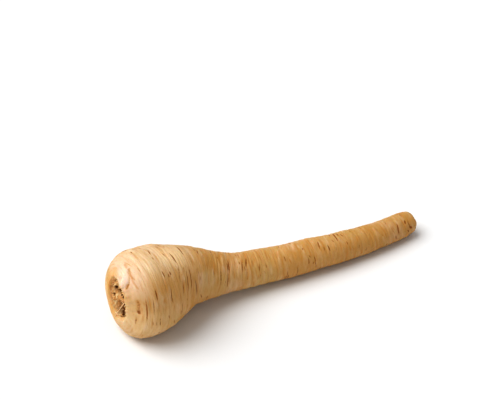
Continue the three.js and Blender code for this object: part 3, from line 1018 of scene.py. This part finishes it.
def stub_material():
    n = Nodes("dried_stalk_cork")
    colour = n.mix(n.mask("tip"), cork_colour(n), CORK_PALE, 0.25)
    # Painted shade in the pits and in the gap behind the near rim.
    colour = n.mix(n.spread(n.mask("pit_shade"), 0.05, 0.75), colour, CORK_DARK_AND_SHADE, 0.95)
    colour = n.mix(n.spread(n.mask("pit_shade"), 0.75, 0.95), colour, PIT_SHADE, 0.9)
    n.link(colour, n.shader.inputs["Base Color"])
    sheen = n.noise(CORK_SHEEN, 2.0, 0.5, 0.0, 1.0)
    n.link(n.spread(sheen, 0, 1, 0.7, 0.95), n.shader.inputs["Roughness"])
    n.shader.inputs["Specular IOR Level"].default_value = 0.05
    grain = n.bump(n.noise(CORK_GRAIN, 4.0, 0.7, 0.0, 1.0), CORK_RELIEF)
    n.link(grain, n.shader.inputs["Normal"])
    return n.material


def fibre_material():
    n = Nodes("dried_fibre")
    coordinates = n.tree.nodes.new("ShaderNodeTexCoord")
    noise = n.tree.nodes.new("ShaderNodeTexNoise")
    n.link(coordinates.outputs["Object"], noise.inputs["Vector"])
    noise.inputs["Scale"].default_value = FIBRE_MOTTLE
    n.link(n.mix(noise.outputs["Fac"], FIBRE_PALE, CORK), n.shader.inputs["Base Color"])
    n.shader.inputs["Roughness"].default_value = 0.75
    return n.material


# ------------------------------------------------------------------ putting the object together


def dress(piece, material, node=None):
    """Paints a piece, hangs it on the root's body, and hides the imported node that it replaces."""
    piece.data.materials.append(material)
    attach(piece, "root")
    if node:
        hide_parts(node)


dress(make_skin(), skin_material(), "root")
dress(make_stubs(), stub_material(), "leaf_stubs")
dress(make_fibres(), fibre_material())

# ------------------------------------------------------------------ camera

CAMERA_RISE = 40.0  # degrees above the table
CAMERA_TURN = 27.5  # degrees from looking along +Y towards +X
CAMERA_LENS = 85.0
CAMERA_PLACE = Vector((-0.24804, -0.45149, 0.49226))  # metres


def make_camera():
    data = bpy.data.cameras.new("camera")
    data.lens = CAMERA_LENS
    data.sensor_width = 36.0
    data.clip_start = 0.01
    camera = bpy.data.objects.new("camera", data)
    bpy.context.scene.collection.objects.link(camera)
    camera.location = CAMERA_PLACE
    camera.rotation_euler = (math.radians(90 - CAMERA_RISE), 0, math.radians(-CAMERA_TURN))
    bpy.context.scene.camera = camera


make_camera()

# ------------------------------------------------------------------ floor and light

KEY_LEFT, KEY_BEHIND, KEY_UP = 0.62, 0.02, 1.0  # where the key stands, as the camera sees it
KEY_SPREAD = 52.0  # degrees across the key as the object sees it: a wider key softens shadows
KEY_ENERGY = 1.95
SKY_STRENGTH = 0.33
FLOOR_HALF = 3.0
FLOOR_WHITE = (0.86, 0.86, 0.86, 1)


def make_floor():
    corners = [(FLOOR_HALF * x, FLOOR_HALF * y, 0) for x, y in [(-1, -1), (1, -1), (1, 1), (-1, 1)]]
    mesh = bpy.data.meshes.new("floor")
    mesh.from_pydata(corners, [], [(0, 1, 2, 3)])
    floor = bpy.data.objects.new("floor", mesh)
    bpy.context.scene.collection.objects.link(floor)
    paint = bpy.data.materials.new("floor_paper")
    paint.use_nodes = True
    shader = paint.node_tree.nodes["Principled BSDF"]
    shader.inputs["Base Color"].default_value = FLOOR_WHITE
    shader.inputs["Roughness"].default_value = 0.9
    shader.inputs["Specular IOR Level"].default_value = 0.1
    mesh.materials.append(paint)


def make_lights():
    turn = math.radians(CAMERA_TURN)
    right = Vector((math.cos(turn), -math.sin(turn), 0))
    ahead = Vector((math.sin(turn), math.cos(turn), 0))
    towards = (-right * KEY_LEFT + ahead * KEY_BEHIND + Vector((0, 0, KEY_UP))).normalized()
    data = bpy.data.lights.new("key", "SUN")
    data.angle = math.radians(KEY_SPREAD)
    data.energy = KEY_ENERGY
    key = bpy.data.objects.new("key", data)
    bpy.context.scene.collection.objects.link(key)
    key.rotation_euler = (-towards).to_track_quat("-Z", "Y").to_euler()

    world = bpy.data.worlds.new("studio")
    bpy.context.scene.world = world
    world.use_nodes = True
    backdrop = world.node_tree.nodes["Background"]
    backdrop.inputs["Color"].default_value = (1, 1, 1, 1)
    backdrop.inputs["Strength"].default_value = SKY_STRENGTH


make_floor()
make_lights()
bpy.context.scene.view_settings.view_transform = "Standard"
bpy.context.scene.view_settings.look = "High Contrast"
